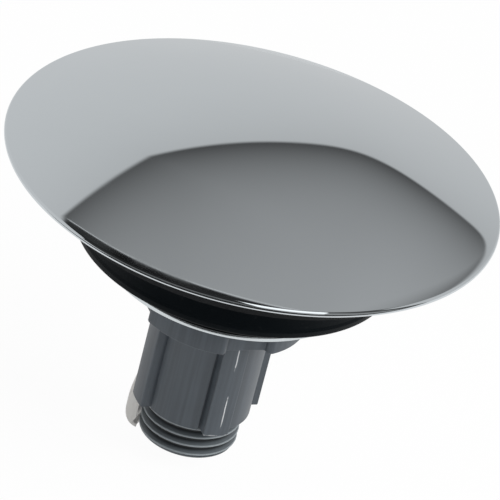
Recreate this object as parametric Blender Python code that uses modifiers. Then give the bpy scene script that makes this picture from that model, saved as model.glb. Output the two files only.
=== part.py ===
"""Pop-up drain plug: a chromed domed cap on a moulded carrier, a rubber seal held by a steel washer, and a
ribbed guide sleeve with a height-adjusting screw in its lower end.

Metres, +Z up through the cap. The origin is on the plug's axis, level with the seal's lower outer edge,
which is where the plug rests on the outlet's seat.
"""

import math

import bmesh
import bpy
from mathutils import Matrix, Vector

# Clearances
FIT_GAP = 0.0003
RUNNING_GAP = 0.00015
CUT_OVERRUN = 0.001

# Cap shell: a shallow dome with a round edge
CAP_RADIUS = 0.036
CAP_WALL = 0.00085
CAP_RISE = 0.00483
RIM_HEIGHT = 0.0125

# Seal: a ring with a beaded lower edge and a conical underside
SEAL_RADIUS = 0.02344
SEAL_BORE_RADIUS = 0.0165
SEAL_WALL_HEIGHT = 0.0082
SEAL_CONE_DROP = 0.00285
SEAL_BEAD_HEIGHT = 0.0008
SEAL_BEAD_STEP = 0.00022
SEAL_WAIST_DEPTH = 0.0004
SEAL_EDGE_RADIUS = 0.0003

# Clamp washer
WASHER_RADIUS = 0.0188
WASHER_THICKNESS = 0.0008

# Carrier: flange plate with a skirt, drum and hollow neck with a boss, stiffened by webs and gussets
CARRIER_FLANGE_RADIUS = 0.031
CARRIER_PLATE = 0.0018
SKIRT_WALL = 0.0012
SKIRT_BOTTOM = 0.0083
CARRIER_DRUM_RADIUS = 0.0205
CARRIER_WALL = 0.002
BOSS_RADIUS = 0.008
WEB_COUNT = 6
WEB_THICKNESS = 0.0014
GUSSET_COUNT = 12
GUSSET_THICKNESS = 0.0012
GUSSET_DROP = 0.0026

# Fastening screw with its washer, and the insert it goes into
SCREW_RADIUS = 0.0025
SCREW_HEAD_RADIUS = 0.0045
SCREW_HEAD_HEIGHT = 0.003
SCREW_HEAD_ROUND = 0.0008
SCREW_TIP_REACH = 0.0012
HEX_SOCKET_RADIUS = 0.0023
HEX_SOCKET_DEPTH = 0.0016
SCREW_WASHER_RADIUS = 0.0049
SCREW_WASHER_THICKNESS = 0.0009
INSERT_RADIUS = 0.0036
INSERT_LENGTH = 0.008
INSERT_GROOVE_DEPTH = 0.0003
INSERT_GROOVE_WIDTH = 0.0016

# Guide sleeve: notched collar, ribbed tube, centring spigot and inner web
COLLAR_RADIUS = 0.013
COLLAR_HEIGHT = 0.00645
NOTCH_FLOOR_RADIUS = 0.01137
NOTCH_WIDTH = 0.0062
NOTCH_CORNER_RADIUS = 0.0008
NOTCH_DRAFT = 0.00008
SPIGOT_RADIUS = 0.006
SPIGOT_HEIGHT = 0.0024
TUBE_RADIUS = 0.0082
TUBE_REACH = 0.0273
TUBE_WEB = 0.0075
RIB_COUNT = 4
RIB_RADIUS = 0.00945
RIB_WIDTH = 0.0039
RIB_DRAFT = 0.00008
ROOT_GROOVE_WIDTH = 0.00045
ROOT_GROOVE_DEPTH = 0.00025
MOULDED_EDGE = 0.0002

# Adjusting screw and its friction ring
ADJUSTER_RADIUS = 0.0073
ADJUSTER_REACH = 0.0058
ADJUSTER_LENGTH = 0.0125
ADJUSTER_BORE_RADIUS = 0.0035
ADJUSTER_FLOOR = 0.0045
ADJUSTER_CHAMFER = 0.0005
SLOT_WIDTH = 0.002
SLOT_LENGTH = 0.011
SLOT_DEPTH = 0.0018
RING_SECTION_RADIUS = 0.0008
RING_SETBACK = 0.0021

# Retaining spring: a sprung leg in a window of the sleeve's wall, bellied below it, with a notched foot
SPRING_BEARING = math.radians(135)
SPRING_WIDTH = 0.005
SPRING_THICKNESS = 0.0011
SPRING_LENGTH = 0.0202
SPRING_BELLY = 0.0008
SPRING_BELLY_TOP = 0.0108
SPRING_BELLY_HEIGHT = 0.0046
SPRING_TIP_BELOW_SCREW = 0.0019
SPRING_NOTCH_HEIGHT = 0.0021
SPRING_NOTCH_DEPTH = 0.0005
SPRING_LIP_HEIGHT = 0.00055

# Facets
CAP_STEPS = 64
DRUM_STEPS = 56
ROUND_STEPS = 44
ARC_STEPS = 8

# Levels that follow from the sizes
SEAL_BOTTOM = -SEAL_CONE_DROP
WASHER_TOP = SEAL_BOTTOM - FIT_GAP
WASHER_BOTTOM = WASHER_TOP - WASHER_THICKNESS
COLLAR_TOP = WASHER_BOTTOM - FIT_GAP
COLLAR_BOTTOM = COLLAR_TOP - COLLAR_HEIGHT
TUBE_BOTTOM = -TUBE_REACH
WEB_BOTTOM = COLLAR_TOP - TUBE_WEB
SPIGOT_TOP = COLLAR_TOP + SPIGOT_HEIGHT
INSERT_BOTTOM = SPIGOT_TOP + 2 * FIT_GAP
INSERT_TOP = INSERT_BOTTOM + INSERT_LENGTH
SCREW_TIP = INSERT_TOP + SCREW_TIP_REACH
SCREW_WASHER_TOP = WEB_BOTTOM - FIT_GAP
SCREW_WASHER_BOTTOM = SCREW_WASHER_TOP - SCREW_WASHER_THICKNESS
HEAD_TOP = SCREW_WASHER_BOTTOM - FIT_GAP
HEAD_BOTTOM = HEAD_TOP - SCREW_HEAD_HEIGHT
ADJUSTER_BOTTOM = TUBE_BOTTOM - ADJUSTER_REACH
ADJUSTER_TOP = ADJUSTER_BOTTOM + ADJUSTER_LENGTH
RING_HEIGHT = ADJUSTER_TOP - RING_SETBACK
TUBE_BORE_RADIUS = ADJUSTER_RADIUS + RUNNING_GAP
SPRING_TIP = ADJUSTER_BOTTOM - SPRING_TIP_BELOW_SCREW
SPRING_TOP = SPRING_TIP + SPRING_LENGTH

PARTS = "drain_plug"
CUTTERS = "drain_plug_cutters"


def clear_scene():
    for obj in list(bpy.data.objects):
        bpy.data.objects.remove(obj)
    for name in (PARTS, CUTTERS):
        bpy.context.scene.collection.children.link(bpy.data.collections.new(name))


def finish_material(name, colour, roughness, metallic):
    material = bpy.data.materials.new(name)
    material.use_nodes = True
    shader = material.node_tree.nodes["Principled BSDF"]
    shader.inputs["Base Color"].default_value = (*colour, 1)
    shader.inputs["Roughness"].default_value = roughness
    shader.inputs["Metallic"].default_value = metallic
    return material


def chrome():
    return finish_material("polished_chrome", (0.62, 0.63, 0.64), 0.04, 1)


def black_moulding():
    return finish_material("black_moulding", (0.025, 0.026, 0.028), 0.45, 0)


def seal_rubber():
    return finish_material("seal_rubber", (0.008, 0.009, 0.010), 0.5, 0)


def polished_steel():
    return finish_material("polished_steel", (0.60, 0.60, 0.59), 0.12, 1)


def screw_steel():
    return finish_material("screw_steel", (0.48, 0.48, 0.47), 0.25, 1)


def brass():
    return finish_material("insert_brass", (0.68, 0.50, 0.20), 0.3, 1)


def grey_moulding(name):
    return finish_material(name, (0.082, 0.092, 0.102), 0.42, 0)


def ring_rubber():
    return finish_material("ring_rubber", (0.012, 0.012, 0.013), 0.55, 0)


def pale_acetal():
    return finish_material("pale_acetal", (0.56, 0.56, 0.54), 0.4, 0)


def add_mesh(name, mesh, collection=PARTS):
    obj = bpy.data.objects.new(name, mesh)
    bpy.data.collections[collection].objects.link(obj)
    return obj


def bake(obj):
    """Replaces an object by the mesh it evaluates to, welded and in triangles."""
    graph = bpy.context.evaluated_depsgraph_get()
    mesh = bpy.data.meshes.new_from_object(obj.evaluated_get(graph))
    weld(mesh)
    name, matrix = obj.name, obj.matrix_world.copy()
    collection = obj.users_collection[0].name
    bpy.data.objects.remove(obj)
    baked = add_mesh(name, mesh, collection)
    baked.matrix_world = matrix
    return baked


def weld(mesh):
    work = bmesh.new()
    work.from_mesh(mesh)
    bmesh.ops.remove_doubles(work, verts=work.verts, dist=FIT_GAP / 100)
    bmesh.ops.triangulate(work, faces=work.faces)
    bmesh.ops.recalc_face_normals(work, faces=work.faces)
    work.to_mesh(mesh)
    work.free()


def arc(centre, radius, start, end, steps=ARC_STEPS):
    """Points on a circle's arc, both ends included, with angles in degrees."""
    angles = (math.radians(start + (end - start) * i / steps) for i in range(steps + 1))
    return [(centre[0] + radius * math.cos(a), centre[1] + radius * math.sin(a)) for a in angles]


def turned(name, profile, steps, closed=False, collection=PARTS):
    """A turned solid from (radius, height) points that run down its outer side."""
    mesh = bpy.data.meshes.new(name)
    edges = [(i, i + 1) for i in range(len(profile) - 1)]
    if closed:
        edges.append((len(profile) - 1, 0))
    mesh.from_pydata([(r, 0, z) for r, z in profile], edges, [])
    obj = add_mesh(name, mesh, collection)
    screw = obj.modifiers.new("turn", "SCREW")
    screw.axis = "Z"
    screw.steps = screw.render_steps = steps
    screw.use_merge_vertices = True
    screw.merge_threshold = FIT_GAP / 100
    return bake(obj)


def extruded(name, outline, low, high, edge=0.0, collection=PARTS):
    """A flat outline standing up from low to high, with its two rims rounded by edge."""
    curve = bpy.data.curves.new(name, "CURVE")
    curve.dimensions = "2D"
    curve.fill_mode = "BOTH"
    spline = curve.splines.new("POLY")
    spline.points.add(len(outline) - 1)
    for point, (x, y) in zip(spline.points, outline):
        point.co = (x, y, 0, 1)
    spline.use_cyclic_u = True
    curve.extrude = (high - low) / 2 - edge
    curve.bevel_depth = edge
    curve.bevel_resolution = 1
    curve.offset = -edge
    obj = bpy.data.objects.new(name, curve)
    bpy.data.collections[collection].objects.link(obj)
    obj.location.z = (low + high) / 2
    bpy.context.view_layer.update()
    return bake(obj)


def box(name, size, centre, turn=0.0):
    """A box cutter or web, turned about the plug's axis."""
    bpy.ops.mesh.primitive_cube_add(size=1)
    obj = bpy.context.object
    obj.name = name
    for collection in list(obj.users_collection):
        collection.objects.unlink(obj)
    bpy.data.collections[CUTTERS].objects.link(obj)
    spin = Matrix.Rotation(turn, 4, "Z")
    obj.data.transform(spin @ Matrix.Translation(centre) @ Matrix.Diagonal((*size, 1)))
    return obj


def rod(name, radius, low, high, steps=ROUND_STEPS):
    """A plain round cutter."""
    return turned(name, [(0, high), (radius, high), (radius, low), (0, low)], steps, collection=CUTTERS)


def stepped_cutter(name, steps_down):
    """A round cutter from (radius, height) pairs, each the top of a step, ending in its lowest height."""
    profile = [(0, steps_down[0][1])]
    for (radius, high), (_, low) in zip(steps_down, steps_down[1:]):
        profile += [(radius, high), (radius, low)]
    return turned(name, profile + [(0, steps_down[-1][1])], ROUND_STEPS, collection=CUTTERS)


def combined(obj, others, operation):
    """Cuts the others from an object, or joins them to it, one after another."""
    for other in others:
        other.hide_render = True
        other.display_type = "WIRE"
        step = obj.modifiers.new(other.name, "BOOLEAN")
        step.operation = operation
        step.object = other
        step.solver = "EXACT"
    bpy.context.view_layer.update()
    return bake(obj)


def dress(obj, material, sharp=32):
    """Smooth shading with crisp corners, and the piece's own material."""
    obj.data.shade_smooth()
    obj.data.set_sharp_from_angle(angle=math.radians(sharp))
    obj.data.materials.clear()
    obj.data.materials.append(material)
    return obj


def dome_radius():
    """Radius of the sphere that the cap's middle surface is part of."""
    reach = CAP_RADIUS - CAP_WALL / 2
    return (reach**2 + CAP_RISE**2) / (2 * CAP_RISE)


def dome_curve(drop, reach, outwards=True, steps=ARC_STEPS):
    """Points of the dome, lowered square to its middle surface by drop, from the axis out to reach."""
    radius = dome_radius() - drop
    centre = RIM_HEIGHT + CAP_RISE - dome_radius()
    tilt = math.asin(reach / radius)
    points = [(radius * math.sin(tilt * i / steps), centre + radius * math.cos(tilt * i / steps))
              for i in range(steps + 1)]
    return points if outwards else points[::-1]


def cap_shell():
    half = CAP_WALL / 2
    tilt = math.asin((CAP_RADIUS - half) / dome_radius())
    edge = arc((CAP_RADIUS - half, RIM_HEIGHT), half, 90 - math.degrees(tilt), -90 - math.degrees(tilt))
    outer = dome_curve(-half, edge[0][0])
    inner = dome_curve(half, edge[-1][0], outwards=False)
    shell = turned("cap_shell", outer[:-1] + edge + inner[1:], CAP_STEPS)
    return dress(shell, chrome())


def cap_carrier():
    top_drop = CAP_WALL / 2 + FIT_GAP
    plate_top = dome_curve(top_drop, CARRIER_FLANGE_RADIUS)
    plate_under = dome_curve(top_drop + CARRIER_PLATE, CARRIER_FLANGE_RADIUS, outwards=False)
    neck_radius = SEAL_BORE_RADIUS - FIT_GAP
    hollow_radius = neck_radius - CARRIER_WALL
    shoulder = SEAL_WALL_HEIGHT + FIT_GAP
    hollow_top = plate_height(BOSS_RADIUS, CARRIER_PLATE)
    skirt_inside = CARRIER_FLANGE_RADIUS - SKIRT_WALL
    outside = [p for p in plate_under if CARRIER_DRUM_RADIUS < p[0] < skirt_inside]
    neck_bottom = SEAL_BOTTOM
    profile = plate_top + [
        (CARRIER_FLANGE_RADIUS, SKIRT_BOTTOM),
        (skirt_inside, SKIRT_BOTTOM),
        (skirt_inside, plate_height(skirt_inside, CARRIER_PLATE)),
    ] + outside + [
        (CARRIER_DRUM_RADIUS, plate_height(CARRIER_DRUM_RADIUS, CARRIER_PLATE)),
        (CARRIER_DRUM_RADIUS, shoulder),
        (neck_radius, shoulder),
        (neck_radius, neck_bottom),
        (hollow_radius, neck_bottom),
        (hollow_radius, plate_height(hollow_radius, CARRIER_PLATE)),
        (BOSS_RADIUS, hollow_top),
        (BOSS_RADIUS, neck_bottom),
        (0, neck_bottom),
    ]
    carrier = turned("cap_carrier", profile, DRUM_STEPS)
    carrier = combined(carrier, carrier_webs(hollow_radius, neck_bottom) + carrier_gussets(), "UNION")
    carrier = combined(carrier, [boss_bore(neck_bottom)], "DIFFERENCE")
    return dress(carrier, black_moulding())


def plate_height(radius, below):
    """Height of the carrier plate's surface at a radius, this far below its top."""
    sphere = dome_radius() - CAP_WALL / 2 - FIT_GAP - below
    return RIM_HEIGHT + CAP_RISE - dome_radius() + math.sqrt(sphere**2 - radius**2)


def carrier_webs(hollow_radius, neck_bottom):
    """Radial walls between the boss and the neck, set back from the washer."""
    inside = BOSS_RADIUS - WEB_THICKNESS
    outside = hollow_radius + CARRIER_WALL / 2
    low = neck_bottom + CARRIER_WALL
    high = plate_height(outside, CARRIER_PLATE / 2)
    size = (outside - inside, WEB_THICKNESS, high - low)
    centre = Vector(((inside + outside) / 2, 0, (low + high) / 2))
    return [box(f"web_{i}", size, centre, math.tau * i / WEB_COUNT) for i in range(WEB_COUNT)]


def carrier_gussets():
    """Small fins under the flange, from the drum to its skirt."""
    inside = CARRIER_DRUM_RADIUS - CARRIER_WALL / 2
    outside = CARRIER_FLANGE_RADIUS - SKIRT_WALL / 2
    high = plate_height(outside, CARRIER_PLATE / 10)
    low = high - GUSSET_DROP
    size = (outside - inside, GUSSET_THICKNESS, high - low)
    centre = Vector(((inside + outside) / 2, 0, (low + high) / 2))
    turn = math.tau / GUSSET_COUNT
    return [box(f"gusset_{i}", size, centre, turn * (i + 1 / 2)) for i in range(GUSSET_COUNT)]


def boss_bore(neck_bottom):
    """The stepped hole in the boss: room for the screw's tip, the insert's seat and the spigot's socket."""
    return stepped_cutter("boss_bore", [
        (SCREW_RADIUS + FIT_GAP, SCREW_TIP + FIT_GAP),
        (INSERT_RADIUS + FIT_GAP, INSERT_TOP + FIT_GAP),
        (SPIGOT_RADIUS + FIT_GAP, SPIGOT_TOP + FIT_GAP),
        (0, neck_bottom - CUT_OVERRUN),
    ])


def threaded_insert():
    bore = SCREW_RADIUS + RUNNING_GAP
    middle = (INSERT_BOTTOM + INSERT_TOP) / 2
    waist = INSERT_RADIUS - INSERT_GROOVE_DEPTH
    half = INSERT_GROOVE_WIDTH / 2
    profile = [
        (INSERT_RADIUS, INSERT_TOP),
        (INSERT_RADIUS, middle + half),
        (waist, middle + half),
        (waist, middle - half),
        (INSERT_RADIUS, middle - half),
        (INSERT_RADIUS, INSERT_BOTTOM),
        (bore, INSERT_BOTTOM),
        (bore, INSERT_TOP),
    ]
    return dress(turned("threaded_insert", profile, ROUND_STEPS, closed=True), brass())


def seal():
    wall = SEAL_RADIUS - SEAL_BEAD_STEP
    low, high = SEAL_BEAD_HEIGHT + SEAL_BEAD_STEP, SEAL_WALL_HEIGHT
    waist = [(wall - SEAL_WAIST_DEPTH * math.sin(math.pi * i / ARC_STEPS), high + (low - high) * i / ARC_STEPS)
             for i in range(ARC_STEPS + 1)]
    corner = arc((SEAL_RADIUS - SEAL_EDGE_RADIUS, SEAL_EDGE_RADIUS), SEAL_EDGE_RADIUS, 0, -90, steps=3)
    profile = waist + [(SEAL_RADIUS, SEAL_BEAD_HEIGHT)] + corner + [
        (WASHER_RADIUS, SEAL_BOTTOM),
        (SEAL_BORE_RADIUS, SEAL_BOTTOM),
        (SEAL_BORE_RADIUS, SEAL_WALL_HEIGHT),
    ]
    return dress(turned("seal", profile, CAP_STEPS, closed=True), seal_rubber())


def clamp_washer():
    hole = SPIGOT_RADIUS + FIT_GAP
    bend = WASHER_THICKNESS / 4
    profile = [
        (WASHER_RADIUS - bend, WASHER_TOP),
        (WASHER_RADIUS, WASHER_TOP - bend),
        (WASHER_RADIUS, WASHER_BOTTOM + bend),
        (WASHER_RADIUS - bend, WASHER_BOTTOM),
        (hole, WASHER_BOTTOM),
        (hole, WASHER_TOP),
    ]
    return dress(turned("clamp_washer", profile, CAP_STEPS, closed=True), polished_steel())


def repeated(sector, count):
    """A sector's points, centred on +X, turned round to all its copies."""
    points = []
    for i in range(count):
        turn = math.tau * i / count
        points += [(x * math.cos(turn) - y * math.sin(turn), x * math.sin(turn) + y * math.cos(turn))
                   for x, y in sector]
    return points


def span(radius, start, end, steps):
    """Points on a circle about the axis, without the two ends."""
    return arc((0, 0), radius, math.degrees(start), math.degrees(end), steps)[1:-1]


def mirrored(half):
    """Half a sector's outline, from its middle to its end, made whole about the X axis."""
    return [(x, -y) for x, y in half[::-1]] + half


def collar_outline():
    """Round lobes between flat-bottomed notches, each notch in line with a rib."""
    half, corner = NOTCH_WIDTH / 2, NOTCH_CORNER_RADIUS
    reach = math.sqrt((COLLAR_RADIUS - corner) ** 2 - (half + corner) ** 2)
    leave = math.atan2(half + corner, reach)
    fillet = arc((reach, half + corner), corner, -90, math.degrees(leave), steps=4)
    lobe = span(COLLAR_RADIUS, leave, math.pi / RIB_COUNT, ARC_STEPS // 2)
    return repeated(mirrored([(NOTCH_FLOOR_RADIUS, half - NOTCH_DRAFT)] + fillet + lobe), RIB_COUNT)


def tube_outline():
    """The round tube with its ribs, and a narrow groove on both sides of each rib's root."""
    half = RIB_WIDTH / 2
    crest = math.asin(half / RIB_RADIUS)
    crown = span(RIB_RADIUS, 0, crest, 2) + [(RIB_RADIUS * math.cos(crest), half - RIB_DRAFT)]
    floor = TUBE_RADIUS - ROOT_GROOVE_DEPTH
    out = half + ROOT_GROOVE_WIDTH
    corners = ((floor, half), (floor, out), (TUBE_RADIUS, out + RIB_DRAFT))
    groove = [(math.sqrt(radius**2 - y**2), y) for radius, y in corners]
    wall = span(TUBE_RADIUS, math.asin(out / TUBE_RADIUS), math.pi / RIB_COUNT, ARC_STEPS // 2)
    return repeated(mirrored(crown + groove + wall), RIB_COUNT)


def spring_window():
    """The slot in the sleeve's wall that the retaining spring stands in."""
    inner, outer = TUBE_RADIUS / 2, RIB_RADIUS + CUT_OVERRUN
    high, low = SPRING_TOP + FIT_GAP, TUBE_BOTTOM - CUT_OVERRUN
    size = (outer - inner, SPRING_WIDTH + 2 * FIT_GAP, high - low)
    centre = Vector(((inner + outer) / 2, 0, (low + high) / 2))
    return box("spring_window", size, centre, SPRING_BEARING)


def guide_sleeve():
    collar = extruded("guide_sleeve", collar_outline(), COLLAR_BOTTOM, COLLAR_TOP, MOULDED_EDGE)
    tube_top = COLLAR_TOP - COLLAR_HEIGHT / 3
    tube = extruded("ribbed_tube", tube_outline(), TUBE_BOTTOM, tube_top, MOULDED_EDGE, CUTTERS)
    spigot = rod("spigot", SPIGOT_RADIUS, (COLLAR_BOTTOM + COLLAR_TOP) / 2, SPIGOT_TOP)
    sleeve = combined(collar, [tube, spigot], "UNION")
    bore = stepped_cutter("sleeve_bore", [
        (SCREW_RADIUS + FIT_GAP, SPIGOT_TOP + CUT_OVERRUN),
        (TUBE_BORE_RADIUS, WEB_BOTTOM),
        (0, TUBE_BOTTOM - CUT_OVERRUN),
    ])
    return dress(combined(sleeve, [bore, spring_window()], "DIFFERENCE"), grey_moulding("grey_moulding"))


def fastening_screw():
    crown = arc((SCREW_HEAD_RADIUS - SCREW_HEAD_ROUND, HEAD_BOTTOM + SCREW_HEAD_ROUND),
                SCREW_HEAD_ROUND, 0, -90, steps=3)
    chamfer = SCREW_RADIUS / 4
    profile = [
        (0, SCREW_TIP),
        (SCREW_RADIUS - chamfer, SCREW_TIP),
        (SCREW_RADIUS, SCREW_TIP - chamfer),
        (SCREW_RADIUS, HEAD_TOP),
        (SCREW_HEAD_RADIUS, HEAD_TOP),
    ] + crown + [(0, HEAD_BOTTOM)]
    screw = turned("fastening_screw", profile, ROUND_STEPS)
    socket = rod("hex_socket", HEX_SOCKET_RADIUS, HEAD_BOTTOM - CUT_OVERRUN,
                 HEAD_BOTTOM + HEX_SOCKET_DEPTH, steps=6)
    return dress(combined(screw, [socket], "DIFFERENCE"), screw_steel())


def screw_washer():
    hole = SCREW_RADIUS + FIT_GAP
    profile = [
        (SCREW_WASHER_RADIUS, SCREW_WASHER_TOP),
        (SCREW_WASHER_RADIUS, SCREW_WASHER_BOTTOM),
        (hole, SCREW_WASHER_BOTTOM),
        (hole, SCREW_WASHER_TOP),
    ]
    return dress(turned("screw_washer", profile, ROUND_STEPS, closed=True), screw_steel())


def groove_floor():
    return ring_centre_radius() - RING_SECTION_RADIUS - FIT_GAP


def ring_centre_radius():
    return ADJUSTER_RADIUS - RING_SECTION_RADIUS


def adjusting_screw():
    half_groove = RING_SECTION_RADIUS + FIT_GAP
    inner_floor = ADJUSTER_BOTTOM + ADJUSTER_FLOOR
    profile = [
        (0, inner_floor),
        (ADJUSTER_BORE_RADIUS, inner_floor),
        (ADJUSTER_BORE_RADIUS, ADJUSTER_TOP),
        (ADJUSTER_RADIUS - ADJUSTER_CHAMFER, ADJUSTER_TOP),
        (ADJUSTER_RADIUS, ADJUSTER_TOP - ADJUSTER_CHAMFER),
        (ADJUSTER_RADIUS, RING_HEIGHT + half_groove),
        (groove_floor(), RING_HEIGHT + half_groove),
        (groove_floor(), RING_HEIGHT - half_groove),
        (ADJUSTER_RADIUS, RING_HEIGHT - half_groove),
        (ADJUSTER_RADIUS, ADJUSTER_BOTTOM + ADJUSTER_CHAMFER),
        (ADJUSTER_RADIUS - ADJUSTER_CHAMFER, ADJUSTER_BOTTOM),
        (0, ADJUSTER_BOTTOM),
    ]
    screw = turned("adjusting_screw", profile, ROUND_STEPS)
    depth = SLOT_DEPTH + CUT_OVERRUN
    middle = Vector((0, 0, ADJUSTER_BOTTOM + SLOT_DEPTH - depth / 2))
    slot = box("drive_slot", (SLOT_LENGTH, SLOT_WIDTH, depth), middle)
    return dress(combined(screw, [slot], "DIFFERENCE"), grey_moulding("adjuster_moulding"))


def friction_ring():
    section = arc((ring_centre_radius(), RING_HEIGHT), RING_SECTION_RADIUS, 90, -270, steps=ARC_STEPS)
    return dress(turned("friction_ring", section[:-1], ROUND_STEPS, closed=True), ring_rubber(), 60)


def spring_profile():
    """The leg in section: straight in the window, then a belly leaning out, and a round foot with a notch."""
    inner = TUBE_BORE_RADIUS + FIT_GAP
    outer = inner + SPRING_THICKNESS
    belly = SPRING_TIP + SPRING_BELLY_HEIGHT
    start = SPRING_TIP + SPRING_BELLY_TOP
    swell = [SPRING_BELLY * (1 - math.cos(math.pi * i / ARC_STEPS)) / 2 for i in range(ARC_STEPS)]
    lean = [(outer + swell[i], start + (belly - start) * i / ARC_STEPS) for i in range(ARC_STEPS)]
    reach = outer + SPRING_BELLY - inner
    turns = [math.pi / 2 * i / ARC_STEPS for i in range(ARC_STEPS + 1)]
    foot = [(inner + reach * math.cos(t), belly - SPRING_BELLY_HEIGHT * math.sin(t)) for t in turns]
    lip = SPRING_TIP + SPRING_LIP_HEIGHT
    notch = [(inner, lip), (inner + SPRING_NOTCH_DEPTH, lip + SPRING_LIP_HEIGHT / 2),
             (inner, SPRING_TIP + SPRING_NOTCH_HEIGHT)]
    return [(inner, SPRING_TOP), (outer, SPRING_TOP)] + lean + foot + notch


def retaining_spring():
    """A piece cut from a turned ring, so that the leg follows the tube's curve."""
    ring = turned("retaining_spring", spring_profile(), 2 * ROUND_STEPS, closed=True)
    inner, outer = TUBE_BORE_RADIUS / 2, RIB_RADIUS + 2 * SPRING_BELLY
    low, high = SPRING_TIP - CUT_OVERRUN, SPRING_TOP + CUT_OVERRUN
    size = (outer - inner, SPRING_WIDTH, high - low)
    blank = box("spring_blank", size, Vector(((inner + outer) / 2, 0, (low + high) / 2)), SPRING_BEARING)
    return dress(combined(ring, [blank], "INTERSECT"), pale_acetal(), 40)


clear_scene()
cap_shell()
cap_carrier()
threaded_insert()
seal()
clamp_washer()
guide_sleeve()
fastening_screw()
screw_washer()
adjusting_screw()
friction_ring()
retaining_spring()
for cutter in list(bpy.data.collections[CUTTERS].objects):
    bpy.data.objects.remove(cutter)
bpy.data.collections.remove(bpy.data.collections[CUTTERS])
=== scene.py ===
import math

import bmesh
import bpy
from mathutils import Matrix, Vector


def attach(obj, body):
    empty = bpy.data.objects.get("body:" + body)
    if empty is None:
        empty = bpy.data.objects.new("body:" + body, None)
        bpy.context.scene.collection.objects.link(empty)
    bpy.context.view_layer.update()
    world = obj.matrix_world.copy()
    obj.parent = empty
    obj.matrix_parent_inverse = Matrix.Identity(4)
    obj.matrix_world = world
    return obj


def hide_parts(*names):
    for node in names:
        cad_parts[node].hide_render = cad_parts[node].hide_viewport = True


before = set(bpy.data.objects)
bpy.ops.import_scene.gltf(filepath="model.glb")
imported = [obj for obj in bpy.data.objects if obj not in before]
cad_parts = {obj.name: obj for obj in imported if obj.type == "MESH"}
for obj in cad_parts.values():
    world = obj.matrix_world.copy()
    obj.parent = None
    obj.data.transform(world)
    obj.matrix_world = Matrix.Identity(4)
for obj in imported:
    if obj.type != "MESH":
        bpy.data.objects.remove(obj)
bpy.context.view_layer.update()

# Cap: a brass disc pressed to a shallow dome, with its edge rolled round, then polished and chrome plated.
# It is bonded to the moulded carrier under it, and covers the outlet when the plug is down.
cap_radius = 0.036
cap_wall = 0.00085
cap_rise = 0.00483
cap_rim_height = 0.0125
cap_edge_radius = cap_wall / 2
cap_edge_circle = cap_radius - cap_edge_radius
cap_plain_share = 0.9988
dome_radius = (cap_edge_circle**2 + cap_rise**2) / (2 * cap_rise)
dome_centre = cap_rim_height + cap_rise - dome_radius
corner_angle = 35
chrome_colour = (0.60, 0.638, 0.663, 1)


def arc(centre, radius, start, end, steps):
    """Points on a circle's arc, both ends included, with angles in degrees."""
    turns = [math.radians(start + (end - start) * i / steps) for i in range(steps + 1)]
    return [(centre[0] + radius * math.cos(t), centre[1] + radius * math.sin(t)) for t in turns]


def round_axis(radius, turn, height):
    """The point at a radius, bearing and height round the plug's axis."""
    return radius * math.cos(turn), radius * math.sin(turn), height


def meshed(name, verts, faces, sharp=corner_angle):
    """An object from points and faces, its normals turned outwards and its corners kept crisp."""
    mesh = bpy.data.meshes.new(name)
    mesh.from_pydata(verts, [], faces)
    work = bmesh.new()
    work.from_mesh(mesh)
    bmesh.ops.recalc_face_normals(work, faces=work.faces)
    work.to_mesh(mesh)
    work.free()
    mesh.shade_smooth()
    mesh.set_sharp_from_angle(angle=math.radians(sharp))
    piece = bpy.data.objects.new(name, mesh)
    bpy.context.scene.collection.objects.link(piece)
    return piece


def turned(name, outline, segments=256):
    """A turned body from the (radius, height) points of its whole outline."""
    verts, rings, faces = [], [], []
    for radius, height in outline:
        if not radius:
            rings.append([len(verts)] * segments)
            verts.append((0, 0, height))
            continue
        rings.append(list(range(len(verts), len(verts) + segments)))
        verts += [round_axis(radius, math.tau * i / segments, height) for i in range(segments)]
    for ring, following in zip(rings, rings[1:] + rings[:1]):
        for i in range(segments):
            j = (i + 1) % segments
            corners = list(dict.fromkeys((ring[i], ring[j], following[j], following[i])))
            if len(corners) > 2:
                faces.append(corners)
    return meshed(name, verts, faces)


def skinned(name, rings, looped=False, sharp=corner_angle):
    """A skin through rings of equal length, looped back to the first ring or closed by two end faces."""
    count = len(rings[0])
    last = (len(rings) - 1) * count
    faces = [] if looped else [tuple(range(count)), tuple(range(last, last + count))]
    for r in range(len(rings) if looped else len(rings) - 1):
        near, far = r * count, (r + 1) % len(rings) * count
        for i in range(count):
            j = (i + 1) % count
            faces.append((near + i, near + j, far + j, far + i))
    return meshed(name, [point for ring in rings for point in ring], faces, sharp)


class Value:
    """One shader socket, so that shader maths reads as plain expressions."""

    def __init__(self, finish, socket):
        self.finish, self.socket = finish, socket

    def maths(self, operation, *sockets):
        return self.finish.add("ShaderNodeMath", {"operation": operation}, dict(enumerate(sockets)))

    def __add__(self, other):
        return self.maths("ADD", self, other)

    def __sub__(self, other):
        return self.maths("SUBTRACT", self, other)

    def __rsub__(self, other):
        return self.maths("SUBTRACT", other, self)

    def __mul__(self, other):
        return self.maths("MULTIPLY", self, other)

    def __truediv__(self, other):
        return self.maths("DIVIDE", self, other)

    def __abs__(self):
        return self.maths("ABSOLUTE", self)

    __radd__, __rmul__ = __add__, __mul__

    def least(self, other):
        return self.maths("MINIMUM", self, other)

    def most(self, other):
        return self.maths("MAXIMUM", self, other)

    def blended_least(self, other, blend):
        return self.maths("SMOOTH_MIN", self, other, blend)

    def exponent(self):
        return self.maths("EXPONENT", self)

    def root(self):
        return self.maths("SQRT", self)

    def squared(self):
        return self * self

    def eased(self, low, high):
        """0 below low, 1 above high, and a soft step between."""
        sockets = {"Value": self, "From Min": low, "From Max": high}
        return self.finish.add("ShaderNodeMapRange", {"interpolation_type": "SMOOTHSTEP"}, sockets)


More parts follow.
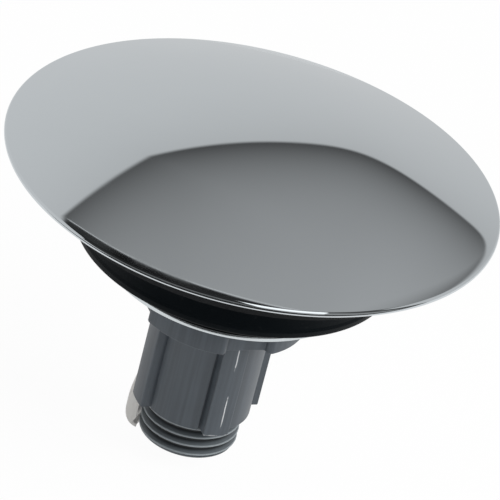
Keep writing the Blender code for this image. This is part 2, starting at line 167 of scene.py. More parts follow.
class Finish:
    """A procedural finish on a node tree, the shader it ends in, and the one way that nodes are added."""

    def __init__(self, name):
        self.material = bpy.data.materials.new(name)
        self.material.use_nodes = True
        self.tree = self.material.node_tree
        self.shader = self.tree.nodes["Principled BSDF"]

    def add(self, kind, settings, sockets, out=0):
        """Adds a node with its settings, then the values or links of its sockets, and gives one output."""
        node = self.tree.nodes.new(kind)
        for setting, value in settings.items():
            setattr(node, setting, value)
        for socket, value in sockets.items():
            self.put(node, socket, value)
        return Value(self, node.outputs[out])

    def put(self, node, socket, value):
        if isinstance(value, Value):
            self.tree.links.new(value.socket, node.inputs[socket])
        else:
            node.inputs[socket].default_value = value

    def set(self, **inputs):
        for socket, value in inputs.items():
            self.put(self.shader, socket.replace("_", " "), value)

    def place(self):
        return self.add("ShaderNodeTexCoord", {}, {}, "Object")

    def split(self, place):
        parts = self.add("ShaderNodeSeparateXYZ", {}, {0: place})
        return [Value(self, socket) for socket in parts.socket.node.outputs]

    def stretched(self, place, scale):
        return self.add("ShaderNodeVectorMath", {"operation": "MULTIPLY"}, {0: place, 1: scale})

    def noise(self, place, scale, detail, roughness=0.5):
        sockets = {"Vector": place, "Scale": scale, "Detail": detail, "Roughness": roughness}
        return self.add("ShaderNodeTexNoise", {}, sockets)

    def mix(self, share, first, second):
        sockets = {0: share, 6: first, 7: second}
        return self.add("ShaderNodeMix", {"data_type": "RGBA"}, sockets, 2)

    def relief(self, height, distance, strength):
        sockets = {"Height": height, "Distance": distance, "Strength": strength}
        return self.add("ShaderNodeBump", {}, sockets)


def dome(drop, reach, steps):
    """Points from the axis out to reach on the dome's middle surface, lowered square to it by drop.

    The last step is a narrow one, so that the shading of the rolled edge doesn't run into the dome.
    """
    radius = dome_radius - drop
    tilt = math.asin(reach / radius)
    turns = [tilt * i / steps for i in range(steps)] + [tilt * cap_plain_share, tilt]
    return [(radius * math.sin(turn), dome_centre + radius * math.cos(turn)) for turn in turns]


def toned(colour, share):
    """A colour made darker or lighter by a share."""
    return tuple(share * part for part in colour)


def plated_chrome():
    """A mirror with the faintest of smears and ripples."""
    finish = Finish("plated_chrome")
    place = finish.place()
    smears = finish.noise(place, 60, 4, 0.6)
    finish.set(Base_Color=finish.mix(smears, chrome_colour, toned(chrome_colour, 0.97)))
    finish.set(Metallic=1.0, Roughness=0.018 + 0.03 * smears.eased(0.45, 0.8))
    finish.set(Normal=finish.relief(finish.noise(place, 90, 1), 0.00001, 0.12))
    return finish.material


rim_tilt = math.degrees(math.asin(cap_edge_circle / dome_radius))
rim_roll = arc((cap_edge_circle, cap_rim_height), cap_edge_radius, 90 - rim_tilt, -90 - rim_tilt, 28)
cap_top = dome(-cap_edge_radius, rim_roll[0][0], 40)[:-1]
cap_underside = dome(cap_edge_radius, rim_roll[-1][0], 30)[-2::-1]
cap = turned("domed_cap", cap_top + rim_roll + cap_underside, segments=512)
cap.data.materials.append(plated_chrome())
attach(cap, "plug_body")
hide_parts("cap_shell")

# Carrier: a black moulding under the cap, with a flange plate, gussets, a drum and a hollow neck.
# The seal sits round its neck, and a brass insert is pressed into the boss in its middle.
carrier_colour = (0.011, 0.012, 0.013, 1)


def black_moulding():
    """Black plastic, finely grained and a little cloudy."""
    finish = Finish("black_moulding_grained")
    place = finish.place()
    grain = finish.noise(place, 2600, 2)
    cloud = finish.noise(place, 120, 3)
    finish.set(Base_Color=finish.mix(cloud, carrier_colour, toned(carrier_colour, 1.5)))
    finish.set(Roughness=0.42 + 0.14 * cloud, Normal=finish.relief(grain, 0.00002, 0.4))
    finish.set(Specular_IOR_Level=0.16)
    return finish.material


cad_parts["cap_carrier"].material_slots[0].material = black_moulding()

# Insert: turned brass with a groove round its middle that locks it in the boss.
# The fastening screw goes up into it.
brass_colours = (0.62, 0.43, 0.16, 1), (0.78, 0.60, 0.28, 1)


def turned_brass():
    """Brass with fine turning lines round it."""
    finish = Finish("turned_brass")
    lines = finish.noise(finish.stretched(finish.place(), (1, 1, 40)), 300, 3)
    finish.set(Base_Color=finish.mix(lines, *brass_colours))
    finish.set(Metallic=1.0, Roughness=0.24 + 0.16 * lines, Normal=finish.relief(lines, 0.00002, 0.4))
    return finish.material


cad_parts["threaded_insert"].material_slots[0].material = turned_brass()

# Seal: a moulded rubber ring with a waisted wall, a bead round its lower edge and a sloping underside.
# It is stretched over the carrier's neck, and its bead rests on the outlet's seat.
seal_radius = 0.02344
seal_bore = 0.0165
seal_height = 0.0082
seal_bottom = -0.00285
seal_bead_height = 0.0008
seal_bead_step = 0.00022
seal_waist = 0.0004
seal_lip_radius = 0.0188
seal_edge = 0.0003
seal_lip_edge = 0.0002
seal_bead_edge = 0.00012
seal_waist_edge = 0.0001
seal_colour = (0.0026, 0.0044, 0.0058, 1)
seal_dust_colour = (0.05, 0.052, 0.055, 1)


def rounded(corners, steps=6):
    """A closed outline of (x, y, radius) corners, each one rounded to its own radius."""
    points = []
    for i, (x, y, radius) in enumerate(corners):
        here = Vector((x, y))
        if not radius:
            points.append((x, y))
            continue
        before = (Vector(corners[i - 1][:2]) - here).normalized()
        after = (Vector(corners[(i + 1) % len(corners)][:2]) - here).normalized()
        half = before.angle(after) / 2
        centre = here + (before + after).normalized() * radius / math.sin(half)
        start = here + before * radius / math.tan(half) - centre
        end = here + after * radius / math.tan(half) - centre
        swing = math.pi - 2 * half
        for k in range(steps + 1):
            share = k / steps
            spoke = start * math.sin((1 - share) * swing) + end * math.sin(share * swing)
            points.append(tuple(centre + spoke / math.sin(swing)))
    return points


def seal_rubber():
    """Satin black rubber with a little dust in its grain."""
    finish = Finish("seal_rubber_satin")
    place = finish.place()
    dust = finish.noise(place, 900, 4, 0.7).eased(0.6, 0.85)
    cloud = finish.noise(place, 110, 2)
    grain = finish.noise(place, 1800, 2)
    finish.set(Base_Color=finish.mix(dust * 0.25, seal_colour, seal_dust_colour))
    finish.set(Roughness=0.34 + 0.16 * cloud, Specular_IOR_Level=0.09)
    finish.set(Normal=finish.relief(grain, 0.00002, 0.3))
    return finish.material


seal_wall = seal_radius - seal_bead_step
waist_steps = 20
waist_low = seal_bead_height + 2 * seal_bead_step
waist = []
for i in range(1, waist_steps):
    share = i / waist_steps
    depth = seal_waist * math.sin(math.pi * share)
    waist.append((seal_wall - depth, seal_height + (waist_low - seal_height) * share, 0))
seal = turned("lip_seal", rounded([
    (seal_wall, seal_height, seal_edge),
    *waist,
    (seal_wall, waist_low, seal_waist_edge),
    (seal_radius, seal_bead_height, seal_bead_edge),
    (seal_radius, 0, seal_edge),
    (seal_lip_radius, seal_bottom, seal_lip_edge),
    (seal_bore, seal_bottom, 0),
    (seal_bore, seal_height, 0),
]), segments=384)
seal.data.materials.append(seal_rubber())
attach(seal, "plug_body")
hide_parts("seal")

# Clamp washer: a disc stamped from bright stainless sheet, with its edges rounded by tumbling.
# It spreads the sleeve's clamping force over the seal.
washer_top = -0.00315
washer_bottom = -0.00395
washer_radius = 0.0188
washer_hole = 0.0063
washer_edge = 0.0002
washer_colours = (0.57, 0.61, 0.63, 1), (0.66, 0.70, 0.72, 1)


def bright_sheet():
    """Bright stainless with its rolling grain."""
    finish = Finish("bright_sheet")
    grain = finish.noise(finish.stretched(finish.place(), (1, 12, 1)), 500, 4)
    finish.set(Base_Color=finish.mix(grain, *washer_colours), Metallic=1.0)
    finish.set(Roughness=0.10 + 0.10 * grain, Normal=finish.relief(grain, 0.00001, 0.3))
    return finish.material


washer = turned("sheet_washer", rounded([
    (washer_radius, washer_top, washer_edge),
    (washer_radius, washer_bottom, washer_edge),
    (washer_hole, washer_bottom, washer_edge),
    (washer_hole, washer_top, washer_edge),
]))
washer.data.materials.append(bright_sheet())
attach(washer, "plug_body")
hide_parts("clamp_washer")

# Guide sleeve: one dark grey moulding, with a notched collar over a tube with four ribs.
# The ribs guide the plug in the outlet, and the spigot on top centres it under the washer.
collar_radius = 0.013
collar_top = -0.00425
collar_bottom = -0.0107
notch_floor = 0.01137
notch_width = 0.0062
notch_corner = 0.0008
notch_foot = 0.0003
tube_radius = 0.0082
tube_bottom = -0.0273
tube_bore = 0.00745
sleeve_web_bottom = -0.01175
spigot_radius = 0.006
spigot_top = -0.00185
screw_hole_radius = 0.0028
rib_radius = 0.00945
rib_width = 0.0039
rib_corner = 0.00015
groove_width = 0.00045
groove_depth = 0.0004
groove_steps = 8
rib_count = 4
moulded_edge = 0.00025
sleeve_fillet = 0.00015
scuff_aside = 0.0002
scuff_lean = 0.012
scuff_waver = 0.00012
scuff_half_width = (0.00004, 0.00012)
# How far the painted highlight at the front rib's bottom edge reaches up.
rib_foot_highlight_reach = (0.00015, 0.0004)
scuff_marks = ((-0.0138, 0.0015), (-0.0236, 0.0031))
scuff_fade = 0.0006
# Colour of the scuffed streak and of the painted highlight at the rib's bottom edge.
scuff_and_highlight_colour = (0.62, 0.63, 0.64, 1)
sleeve_colour = (0.057, 0.068, 0.080, 1)
spring_bearing = math.radians(135)
spring_width = 0.005
spring_gap = 0.0003
spring_top = -0.015
window_top = spring_top + spring_gap
window_corner = 0.0004
window_overcut = 0.001


def quarter_outline(half_sector):
    """Half a sector's outline, from its middle on +X to its end, made whole and turned to all the ribs."""
    sector = [(x, -y) for x, y in half_sector[:0:-1]] + half_sector
    points = []
    for i in range(rib_count):
        cosine, sine = math.cos(math.tau * i / rib_count), math.sin(math.tau * i / rib_count)
        points += [(x * cosine - y * sine, x * sine + y * cosine) for x, y in sector[:-1]]
    return points


def spaced(radius, start, end, steps):
    """Points on a circle about the axis, from one angle to another."""
    return arc((0, 0), radius, math.degrees(start), math.degrees(end), steps)


def tube_outline():
    """Rib crown, rounded rib corner, the groove at the rib's root and the tube wall."""
    half = rib_width / 2
    corner_reach = math.sqrt((rib_radius - rib_corner) ** 2 - (half - rib_corner) ** 2)
    corner_turn = math.atan2(half - rib_corner, corner_reach)
    wall_start = half + groove_width
    wall_reach = math.sqrt(tube_radius**2 - wall_start**2)
    crown = spaced(rib_radius, 0, corner_turn, 4)
    corner = arc((corner_reach, half - rib_corner), rib_corner, math.degrees(corner_turn), 90, 4)
    bend = arc((wall_reach, half + groove_width / 2), groove_width / 2, -90, -270, groove_steps)
    groove = [(wall_reach + groove_depth * (x - wall_reach) / groove_width * 2, y) for x, y in bend]
    wall = spaced(tube_radius, math.atan2(wall_start, wall_reach), math.pi / rib_count, 12)
    return quarter_outline(crown + corner[1:] + groove + wall[1:])


def collar_outline():
    """Notch floor, notch foot, lobe corner and lobe, with as many points as the tube's outline."""
    half = notch_width / 2
    reach = math.sqrt((collar_radius - notch_corner) ** 2 - (half + notch_corner) ** 2)
    leave = math.atan2(half + notch_corner, reach)
    floor = [(notch_floor, (half - notch_foot) * i / 4) for i in range(5)]
    foot_curve = arc((notch_floor + notch_foot, half - notch_foot), notch_foot, 180, 90, 4)
    corner = arc((reach, half + notch_corner), notch_corner, -90, math.degrees(leave), groove_steps)
    lobe = spaced(collar_radius, leave, math.pi / rib_count, 12)
    return quarter_outline(floor + foot_curve[1:] + corner + lobe[1:])


def circle_like(outline, radius):
    """The outline's points drawn out or in to one radius."""
    return [tuple(Vector(point).normalized() * radius) for point in outline]


def inset(outline, depth):
    """The outline drawn in by a small depth, square to itself."""
    points = []
    for i, point in enumerate(outline):
        before, after = Vector(outline[i - 1]), Vector(outline[(i + 1) % len(outline)])
        along = (after - before).normalized()
        points.append((point[0] - along.y * depth, point[1] + along.x * depth))
    return points


def lofted(name, stations):
    """A looped skin through closed plan outlines of equal length, each at its height."""
    rings = [[(x, y, height) for x, y in outline] for outline, height in stations]
    return skinned(name, rings, looped=True)


def rounded_end(outline, height, towards, steps=4):
    """Stations that round an outline's rim, from its drawn-in face to its full width.

    The full width lies towards +1, above the face, or -1, below it.
    """
    stations = []
    for i in range(steps + 1):
        turn = math.pi / 2 * i / steps
        drawn, risen = moulded_edge * (1 - math.sin(turn)), moulded_edge * (1 - math.cos(turn))
        stations.append((inset(outline, drawn), height + towards * risen))
    return stations


def cut_away(piece, cutter, sharp=corner_angle):
    """Cuts another body out of a piece, and leaves the result as its mesh."""
    step = piece.modifiers.new(cutter.name, "BOOLEAN")
    step.operation, step.solver, step.object = "DIFFERENCE", "EXACT", cutter
    bpy.context.view_layer.update()
    evaluated = piece.evaluated_get(bpy.context.evaluated_depsgraph_get())
    mesh = bpy.data.meshes.new_from_object(evaluated)
    piece.modifiers.clear()
    piece.data = mesh
    mesh.shade_smooth()
    mesh.set_sharp_from_angle(angle=math.radians(sharp))
    bpy.data.objects.remove(cutter)


def rounded_block(name, size, centre, turn, edge):
    """A block with rounded edges, standing at a bearing round the axis."""
    work = bmesh.new()
    bmesh.ops.create_cube(work, size=1)
    bmesh.ops.scale(work, vec=size, verts=work.verts)
    bmesh.ops.bevel(work, geom=work.edges, offset=edge, segments=4, profile=0.5, affect="EDGES")
    stand = Matrix.Rotation(turn, 4, "Z") @ Matrix.Translation(centre)
    bmesh.ops.transform(work, matrix=stand, verts=work.verts)
    mesh = bpy.data.meshes.new(name)
    work.to_mesh(mesh)
    work.free()
    block = bpy.data.objects.new(name, mesh)
    bpy.context.scene.collection.objects.link(block)
    return block


def grey_moulding():
    """Satin grey plastic, a little cloudy, with a scuffed streak on the rib that faces front and a painted
    highlight along that rib's bottom edge.
    """
    finish = Finish("grey_moulding_satin")
    place = finish.place()
    x, y, z = finish.split(place)
    cloud = finish.noise(place, 160, 3)
    drag = finish.noise(finish.stretched(place, (1, 1, 0.03)), 1400, 2).eased(0.3, 0.7)
    tone = cloud * 0.5 + drag * 0.5
    colour = finish.mix(tone, toned(sleeve_colour, 0.78), toned(sleeve_colour, 1.26))
    on_crown = (0 - y).eased(rib_radius - 0.00065, rib_radius - 0.00035)
    waver = (finish.noise(place, 700, 2) - 0.5) * scuff_waver
    drift = x - scuff_aside + (z - collar_bottom) * scuff_lean + waver
    line = 1 - abs(drift).eased(*scuff_half_width)
    broken = finish.noise(finish.stretched(place, (1, 1, 0.5)), 900, 3, 0.6).eased(0.38, 0.6)
    upper, lower = [1 - abs(z - height).eased(reach, reach + scuff_fade) for height, reach in scuff_marks]
    # Painted highlight along the bottom edge of the rib that faces front, broken like the scuff.
    foot = (1 - (z - tube_bottom).eased(*rib_foot_highlight_reach)) * broken * 0.6
    scuff_and_highlight = (line * broken * upper.most(lower)).most(foot) * on_crown
    grain = finish.noise(place, 2200, 3)
    finish.set(Base_Color=finish.mix(scuff_and_highlight * 0.85, colour, scuff_and_highlight_colour))
    finish.set(Roughness=0.38 + 0.12 * cloud, Normal=finish.relief(grain, 0.00003, 0.35))
    finish.set(Specular_IOR_Level=0.36)
    return finish.material


tube_plan = tube_outline()
collar_plan = collar_outline()
bore_plan = circle_like(tube_plan, tube_bore)
spigot_plan = circle_like(tube_plan, spigot_radius)
hole_plan = circle_like(tube_plan, screw_hole_radius)
sleeve = lofted("ribbed_sleeve", [
    (bore_plan, sleeve_web_bottom),
    (bore_plan, tube_bottom + moulded_edge / 2),
    (circle_like(tube_plan, tube_bore + moulded_edge / 2), tube_bottom),
    *rounded_end(tube_plan, tube_bottom, 1),
    (tube_plan, collar_bottom - sleeve_fillet),
    (inset(tube_plan, -sleeve_fillet / 3), collar_bottom - sleeve_fillet / 3),
    (inset(tube_plan, -sleeve_fillet), collar_bottom),
    *rounded_end(collar_plan, collar_bottom, 1),
    *reversed(rounded_end(collar_plan, collar_top, -1)),
    (spigot_plan, collar_top),
    (spigot_plan, spigot_top - moulded_edge),
    (inset(spigot_plan, moulded_edge), spigot_top),
    (hole_plan, spigot_top),
    (hole_plan, sleeve_web_bottom),
])
window_depth = rib_radius - tube_radius / 2 + window_overcut
window_height = window_top - tube_bottom + 2 * window_overcut
window_size = (window_depth, spring_width + 2 * spring_gap, window_height)
window_centre = (tube_radius / 2 + window_depth / 2, 0, window_top - window_height / 2)
cut_away(sleeve, rounded_block("window", window_size, window_centre, spring_bearing, window_corner))
sleeve.data.materials.append(grey_moulding())
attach(sleeve, "plug_body")
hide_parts("guide_sleeve")

# Fastening screw and its washer: plain stainless, headed and rolled, sunk in the sleeve.
# The screw clamps sleeve, washer and seal to the insert.
stainless_colours = (0.42, 0.42, 0.41, 1), (0.56, 0.56, 0.55, 1)


def plain_stainless():
    """Plain steel with lines round it from heading and rolling."""
    finish = Finish("plain_stainless")
    lines = finish.noise(finish.stretched(finish.place(), (1, 1, 30)), 260, 3)
    finish.set(Base_Color=finish.mix(lines, *stainless_colours), Metallic=1.0)
    finish.set(Roughness=0.22 + 0.14 * lines, Normal=finish.relief(lines, 0.00002, 0.3))
    return finish.material


stainless = plain_stainless()
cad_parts["fastening_screw"].material_slots[0].material = stainless
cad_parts["screw_washer"].material_slots[0].material = stainless

# Adjusting screw: a hollow moulding in the same grey plastic, with a right-hand thread of 1.5 mm pitch.
# It is screwed up or down in the sleeve with a coin in its slot, to set how high the plug stands.
adjuster_radius = 0.0073
adjuster_top = -0.0206
adjuster_bottom = -0.0331
adjuster_bore = 0.0035
adjuster_floor = adjuster_bottom + 0.0045
adjuster_chamfer = 0.0005
adjuster_foot_edge = 0.0003
adjuster_segments = 144
coin_slot_size = (0.011, 0.002, 0.0036)
coin_slot_edge = 0.0002
thread_pitch = 0.0015
thread_depth = 0.00085
thread_start = -0.0244
thread_end = -0.03285
thread_phase = 0.24
thread_root_share = 0.2
thread_flank_share = 0.68
thread_run_in = 0.0008
thread_run_out = 0.0003
thread_last_depth = 0.25
thread_row_rise = 0.00006
# Painted shade for the thread's root, the plastic's own tone for its flanks and a painted highlight for its
# crests.
thread_root_shade_colour = (0.013, 0.015, 0.017, 1)
thread_flank_colour = (0.082, 0.095, 0.104, 1)
thread_crest_highlight_colour = (0.21, 0.235, 0.25, 1)
thread_shade_spread = 0.0001
fine_corner_angle = 50
ring_height = -0.0227
ring_groove_floor = 0.0054
ring_groove_half = 0.0011


def thread_radius(turn, height):
    """The screw's outer radius: narrow crests, straight flanks and a flat root, fading at both ends."""
    phase = (height / thread_pitch - turn / math.tau + thread_phase) % 1
    rise = min(1, max(0, (abs(phase - 0.5) * 2 - thread_root_share) / thread_flank_share))
    fade_in = max(0, (thread_start - height) / thread_run_in)
    fade_out = max(0, (height - thread_end) / thread_run_out) + thread_last_depth
    return adjuster_radius - thread_depth * (1 - rise) * min(1, fade_in, fade_out)


def thread_moulding():
    """The sleeve's plastic, with painted shade dark in the thread's root and a painted highlight paler on
    its crests.
    """
    finish = Finish("thread_moulding_painted_light")
    place = finish.place()
    x, y = finish.split(place)[:2]
    cloud = finish.noise(place, 300, 3)
    grain = finish.noise(place, 2200, 3)
    # The radius, blurred a little by noise, sets painted shade in the root and a painted highlight on the
    # crests.
    shading_radius = (x.squared() + y.squared()).root() + (cloud - 0.5) * thread_shade_spread
    flank = shading_radius.eased(adjuster_radius - thread_depth, adjuster_radius - 0.3 * thread_depth)
    crest_highlight = shading_radius.eased(adjuster_radius - 0.22 * thread_depth, adjuster_radius - 0.04 * thread_depth)
    colour = finish.mix(flank, thread_root_shade_colour, thread_flank_colour)
    finish.set(Base_Color=finish.mix(crest_highlight, colour, thread_crest_highlight_colour))
    finish.set(Roughness=0.40 + 0.12 * cloud, Normal=finish.relief(grain, 0.00003, 0.3))
    return finish.material


def adjuster_skin():
    """Rows up the bore and down the outside: chamfered head, ring groove, thread and rounded foot."""
    turns = [math.tau * i / adjuster_segments for i in range(adjuster_segments)]
    groove_top, groove_bottom = ring_height + ring_groove_half, ring_height - ring_groove_half
    head = [
        (adjuster_bore, adjuster_floor),
        (adjuster_bore, adjuster_top),
        (adjuster_radius - adjuster_chamfer, adjuster_top),
        (adjuster_radius, adjuster_top - adjuster_chamfer),
        (adjuster_radius, groove_top),
        (ring_groove_floor, groove_top),
        (ring_groove_floor, groove_bottom),
        (adjuster_radius, groove_bottom),
    ]
    rows = [[point] * adjuster_segments for point in head]
    foot_top = adjuster_bottom + adjuster_foot_edge
    for k in range(round((thread_start - foot_top) / thread_row_rise) + 1):
        height = thread_start - k * thread_row_rise
        rows.append([(thread_radius(turn, height), height) for turn in turns])
    foot = [radius for radius, height in rows[-1]]
    for drawn, drop in arc((adjuster_foot_edge, 0), adjuster_foot_edge, 180, 90, 3)[1:]:
        rows.append([(radius - drawn, foot_top - drop) for radius in foot])
    rings = [[round_axis(radius, turn, height) for turn, (radius, height) in zip(turns, row)]
             for row in rows]
    return skinned("adjusting_thread", rings, sharp=fine_corner_angle)


adjuster = adjuster_skin()
coin_slot = rounded_block("coin_slot", coin_slot_size, (0, 0, adjuster_bottom), 0, coin_slot_edge)
cut_away(adjuster, coin_slot, fine_corner_angle)
adjuster.data.materials.append(thread_moulding())
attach(adjuster, "adjuster")
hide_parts("adjusting_screw")

# Friction ring: a moulded rubber ring in the adjusting screw's groove.
# It rubs on the sleeve's bore, so the screw stays where it is set.
ring_colours = (0.010, 0.010, 0.011, 1), (0.016, 0.016, 0.017, 1)


def ring_rubber():
    """Plain black rubber."""
    finish = Finish("ring_rubber_plain")
    cloud = finish.noise(finish.place(), 500, 3)
    finish.set(Base_Color=finish.mix(cloud, *ring_colours))
    finish.set(Roughness=0.45 + 0.2 * cloud, Normal=finish.relief(cloud, 0.00003, 0.3))
    return finish.material


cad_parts["friction_ring"].material_slots[0].material = ring_rubber()

# Retaining spring: a sprung leg of pale acetal that stands in the sleeve's window.
# It snaps under a ledge in the outlet, and its bellied, notched foot shows beside the screw.
spring_inner = 0.00775
spring_thickness = 0.0011
spring_tip = -0.035
spring_belly = 0.0008
spring_belly_top = 0.0125
spring_belly_height = 0.0050
spring_foot_height = 0.0036
spring_foot_reach = 0.0026
spring_lip = 0.00055
spring_lip_reach = 0.00025
spring_foot_fullness = 0.87
spring_foot_angle = 8
spring_foot_steps = 18
spring_swell_steps = 14
spring_notch_top = 0.0017
spring_notch_depth = 0.00035
spring_notch_edges = (0.0002, 0.00015, 0.0001)
spring_toe_rise = 0.0001
spring_top_edge = 0.0003
spring_edge = 0.00013
spring_edge_steps = 6
leg_colours = (0.67, 0.66, 0.635, 1), (0.74, 0.73, 0.705, 1)


def pale_acetal():
    """Off-white plastic with a waxy skin."""
    finish = Finish("pale_acetal_waxy")
    place = finish.place()
    cloud = finish.noise(place, 260, 3)
    grain = finish.noise(place, 1500, 2)
    finish.set(Base_Color=finish.mix(cloud, *leg_colours))
    finish.set(Roughness=0.32 + 0.12 * cloud, Normal=finish.relief(grain, 0.00002, 0.3))
    return finish.material


def spring_section():
    """The leg's section, up its outer side and down its inner one: foot, belly, straight part and notch."""
    outer, belly = spring_inner + spring_thickness, spring_tip + spring_belly_height
    foot_start = outer + spring_belly - spring_foot_reach
    outline = []
    for i in range(spring_foot_steps + 1):
        turn = math.radians(spring_foot_angle + (90 - spring_foot_angle) * i / spring_foot_steps)
        reach = spring_foot_reach * math.sin(turn) ** spring_foot_fullness
        rise = spring_foot_height * (1 - math.cos(turn) ** spring_foot_fullness)
        outline.append((foot_start + reach, spring_tip + rise, 0))
    for i in range(1, spring_swell_steps + 1):
        share = i / spring_swell_steps
        swell = spring_belly * (1 + math.cos(math.pi * share)) / 2
        outline.append((outer + swell, belly + (spring_belly_top - spring_belly_height) * share, 0))
    lip_height, lip_reach = spring_tip + spring_lip, spring_inner - spring_lip_reach
    upper_edge, notch_edge, lip_edge = spring_notch_edges
    outline += [
        (outer, spring_top, spring_top_edge),
        (spring_inner, spring_top, spring_top_edge),
        (spring_inner, spring_tip + spring_notch_top, upper_edge),
        (spring_inner + spring_notch_depth, lip_height + spring_lip / 2, notch_edge),
        (lip_reach, lip_height, lip_edge),
        (lip_reach, spring_tip + spring_toe_rise, 0),
    ]
    return rounded(outline, 5)


def spring_skin():
    """The section turned across the window about the plug's axis, and drawn in at both sides."""
    section = spring_section()
    half = math.asin(spring_width / 2 / (spring_inner + spring_thickness))
    rings = {}
    for i in range(spring_edge_steps + 3):
        quarter = math.pi / 2 * min(1, i / spring_edge_steps)
        drawn = spring_edge * (1 - math.sin(quarter))
        rounding = spring_edge * (1 - math.cos(quarter)) / spring_inner
        inwards = rounding + max(0, i - spring_edge_steps) * half / spring_edge_steps
        for side in (-1, 1):
            turn = spring_bearing + side * (half - inwards)
            rings[turn] = [round_axis(radius, turn, height) for radius, height in inset(section, drawn)]
    return skinned("sprung_leg", [rings[turn] for turn in sorted(rings)], sharp=fine_corner_angle)


leg = spring_skin()
leg.data.materials.append(pale_acetal())
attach(leg, "plug_body")
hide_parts("retaining_spring")

# Table: a plain matt white top, just under the lowest place that the plug's foot reaches.
# For the metal only, a painted reflection: the table's glow is painted darker far off, and past a front
# edge close to the plug it is painted as dim gloom.
view_bearing = math.radians(-27.1)
floor_height = -0.0362
floor_reach = 3.0
floor_front = 0.0708
floor_front_blur = 0.001
floor_glow = 0.96
floor_far_share = 0.65
floor_colours = (0.86, 0.86, 0.86, 1), (0.89, 0.89, 0.89, 1)
painted_gloom_colour = (0.03, 0.03, 0.03, 1)
white = (1, 1, 1, 1)


def table_top():
    """Matt white that takes shadows, with a glow for the camera and for what reflects the table; for
    reflections the glow is painted darker far off and painted dark past the front edge.
    """
    finish = Finish("white_table")
    direct, glossy, clear = [finish.add("ShaderNodeLightPath", {}, {}, f"Is {kind} Ray")
                             for kind in ("Camera", "Glossy", "Transmission")]
    place = finish.place()
    x, y = finish.split(place)[:2]
    forward = x * math.sin(view_bearing) - y * math.cos(view_bearing)
    reflected = glossy.most(clear)
    # Painted reflection: what reflects the table sees its glow darker far off.
    reflected_glow_falloff = floor_far_share + (1 - floor_far_share) * forward.eased(-0.2, 0.15)
    seen = direct.most(reflected * reflected_glow_falloff) * floor_glow
    # Painted reflection: past the front edge, what reflects the table sees a dark glow instead.
    painted_dark_past_edge = reflected * forward.eased(floor_front - floor_front_blur, floor_front + floor_front_blur)
    finish.set(Base_Color=finish.mix(finish.noise(place, 30, 2), *floor_colours), Roughness=0.9)
    matt = Value(finish, finish.shader.outputs[0])
    glow = finish.add("ShaderNodeEmission", {}, {"Color": white, "Strength": 1.0})
    gloom = finish.add("ShaderNodeEmission", {}, {"Color": painted_gloom_colour, "Strength": 1.0})
    lit = finish.add("ShaderNodeMixShader", {}, {0: seen, 1: matt, 2: glow})
    ended = finish.add("ShaderNodeMixShader", {}, {0: painted_dark_past_edge, 1: lit, 2: gloom})
    finish.put(finish.tree.nodes["Material Output"], "Surface", ended)
    return finish.material


corners = [(-1, -1), (1, -1), (1, 1), (-1, 1)]
corners = [(floor_reach * x, floor_reach * y, floor_height) for x, y in corners]
floor = meshed("table_top", corners, [(0, 1, 2, 3)])
floor.data.materials.append(table_top())

# Surround: a light room that the metal shows, with a grey card hung beyond the plug and a dim side behind
# the camera. It is laid out in degrees: over runs from 0 at the horizon beyond the plug, over the top, to
# 180 behind the camera, and aside from the middle to the right. The card's edge is the line on the dome.
wall_light = 0.80
wall_edge_shade = 0.11
wall_shade_reach = 7
card_light = 0.41
card_edge_shade = 0.325
card_shade_reach = 6.5
card_corner = 5
line_light = 0.68
gloom_light = 0.012
soft_box_light = 1.6
soft_box_low_light = 0.5


def facing(bearing, height):
    """The direction out from the plug at a bearing and height, where bearing 0 looks towards -Y."""
    reach = math.cos(height)
    return Vector((math.sin(bearing) * reach, -math.cos(bearing) * reach, math.sin(height)))


class Surround(Finish):
    """The world's nodes, and the directions that its light is laid out in."""

    def __init__(self, name):
        world = bpy.data.worlds.new(name)
        world.use_nodes = True
        bpy.context.scene.world = world
        self.tree = world.node_tree
        self.way = self.add("ShaderNodeTexCoord", {}, {}, "Generated")
        self.along = self.share_of(facing(view_bearing + math.pi, 0))
        self.across = self.share_of(facing(view_bearing + math.pi / 2, 0))
        self.up = self.split(self.way)[2]
        self.over = self.degrees("ARCTAN2", self.up, self.along)
        self.aside = self.degrees("ARCSINE", self.across)

    def share_of(self, direction):
        """How much of the way that is looked lies along a direction, from -1 to 1."""
        sockets = {0: self.way, 1: direction}
        return self.add("ShaderNodeVectorMath", {"operation": "DOT_PRODUCT"}, sockets, "Value")

    def degrees(self, operation, *sockets):
        """An angle in degrees, from the values that an operation finds it by."""
        return sockets[0].maths(operation, *sockets) * (180 / math.pi)


def far_side(over, aside):
    """The wall beyond the plug and the card in front of it, each shaded towards the card's edge."""
    steep = (over - 38 + (aside + 8.7) * 1.8) / 2.06
    slant = (over - 29.7 + aside * 0.955) / 1.38
    level = (over - 20.13 - aside * 0.43) / 1.09
    left_edge = aside + 16.1 + (over - 54).most(0) * 0.58
    right_edge = 19.2 - (over - 37.5).squared() * 0.0125 - aside
    lower_edge = steep.least(slant).blended_least(level, card_corner)
    inside = lower_edge.blended_least(right_edge * 2.5, card_corner).least(left_edge)
    depth = lower_edge.least((right_edge + 0.1) * 12).most(0)
    card = card_light - card_edge_shade * (depth * (-1 / card_shade_reach)).exponent() + 0.003 * depth
    card = card + 0.045 * (0 - aside).eased(4, 14) + 0.035 * aside.eased(8, 16)
    wall = wall_light - wall_edge_shade * (inside.least(0) * (1 / wall_shade_reach)).exponent()
    wall = wall - 0.07 * aside.eased(-30, 30)
    return wall + (card - wall) * inside.eased(-0.35, 0.35)


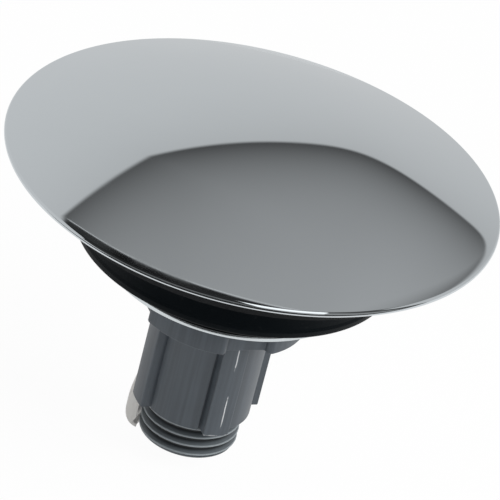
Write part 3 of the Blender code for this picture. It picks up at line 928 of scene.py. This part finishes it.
def near_side(over, aside, band, haze):
    """The dim room behind the camera, with a tall soft box on its right and striped light beside that."""
    gloom = gloom_light + 0.045 * haze.eased(0.35, 0.75)
    gloom = gloom + 0.16 * over.eased(112, 145) * (1 - over.eased(158, 172))
    box_lean = (over - 76) * 0.13 + (over - 95).most(0) * 0.075 + (over - 153).most(0) * 0.8
    box_left = (aside - 3 - box_lean).least(over - 66)
    box_right = 44.5 - (185 - over).squared() * 0.00228 - aside
    box = box_left.eased(-0.6, 0.6) * box_right.eased(-0.3, 0.3)
    stripes = abs(over - 92).eased(3, 9) * abs(over - 165).eased(5, 14)
    beside = (0 - box_right).eased(0, 0.5) * (0.06 + 0.2 * stripes * (0 - band).eased(0.08, 0.16))
    dark = gloom + beside
    box_light = soft_box_light - (soft_box_light - soft_box_low_light) * (over - 133).eased(-6, 6)
    return dark + (box_light - dark) * box


def studio_surround():
    """The far side, the near side above and behind it, and a line of light where the two meet."""
    room = Surround("studio")
    over, aside, along, across = room.over, room.aside, room.along, room.across
    off_middle = (aside - 0.8).squared()
    past_card = over - 62.02 + off_middle * (0.0268 + 0.000034 * off_middle)
    left_end = across * 0.59 - along * 0.59 + room.up * 0.51 + 0.05 + (along - 0.25).most(0) * 0.5
    left_end = left_end.eased(-0.02, 0.02) * (aside + 16.8 + (over - 54) * 0.58).eased(-0.5, 0.5)
    band = along + 0.05 - (0.95 - across).most(0).squared() * 1.07
    right_end = (0.10 - band + (0.35 - across).most(0) * 3).eased(-0.04, 0.04)
    ends = left_end * right_end
    dim = past_card.eased(-0.12, 0.03) * ends
    line = past_card.eased(-0.30, -0.24) * (1 - past_card.eased(-0.16, -0.10)) * ends
    light = far_side(over, aside)
    light = light + (near_side(over, aside, band, room.noise(room.way, 5, 2)) - light) * dim
    light = light + (line_light - light) * line
    grey = room.add("ShaderNodeCombineColor", {}, {0: light, 1: light, 2: light})
    seen = room.add("ShaderNodeLightPath", {}, {}, "Is Camera Ray")
    room.put(room.tree.nodes["Background"], "Color", room.mix(seen, grey, white))


studio_surround()

# Lamps and camera: two soft lamps light the rubber and the plastics, and the metal doesn't show them.
# The camera stands at the photograph's angle, with the long lens that was fitted to the plug's outlines.
view_height = math.radians(31.0)
view_roll = math.radians(14.61)
view_distance = 0.5674
view_focal_pixels = 4000
frame_pixels = 500
rim_centre_pixels = (253.9, 171.21)
film_width = 36
sight_limits = (0.01, 20)


def soft_lamp(name, bearing, height, distance, size, power):
    """A square lamp aimed at the plug, at a bearing in degrees right of the camera and a height."""
    data = bpy.data.lights.new(name, "AREA")
    data.shape, data.size, data.energy = "SQUARE", size, power
    lamp = bpy.data.objects.new(name, data)
    bpy.context.scene.collection.objects.link(lamp)
    way = facing(view_bearing + math.radians(bearing), math.radians(height))
    lamp.location = way * distance
    lamp.rotation_mode = "QUATERNION"
    lamp.rotation_quaternion = way.to_track_quat("Z", "Y")
    lamp.visible_glossy = False


soft_lamp("lamp_right", 75, 35, 1.2, 0.7, 13)
soft_lamp("lamp_left", -15, 15, 1.4, 0.8, 5)


def photo_camera():
    """The camera, placed so that the middle of the cap's rim falls on its place in the photograph."""
    back = facing(view_bearing, view_height)
    level = Vector((0, 0, 1)).cross(back).normalized()
    rise = back.cross(level)
    right = math.cos(view_roll) * level + math.sin(view_roll) * rise
    up = -math.sin(view_roll) * level + math.cos(view_roll) * rise
    aside = (rim_centre_pixels[0] - frame_pixels / 2) * view_distance / view_focal_pixels
    above = (frame_pixels / 2 - rim_centre_pixels[1]) * view_distance / view_focal_pixels
    data = bpy.data.cameras.new("camera")
    data.sensor_width = film_width
    data.lens = film_width * view_focal_pixels / frame_pixels
    data.clip_start, data.clip_end = sight_limits
    camera = bpy.data.objects.new("camera", data)
    bpy.context.scene.collection.objects.link(camera)
    camera.matrix_world = Matrix((right, up, back)).transposed().to_4x4()
    camera.location = Vector((0, 0, cap_rim_height)) - aside * right - above * up + view_distance * back
    bpy.context.scene.camera = camera


photo_camera()
bpy.context.scene.view_settings.view_transform = "Standard"
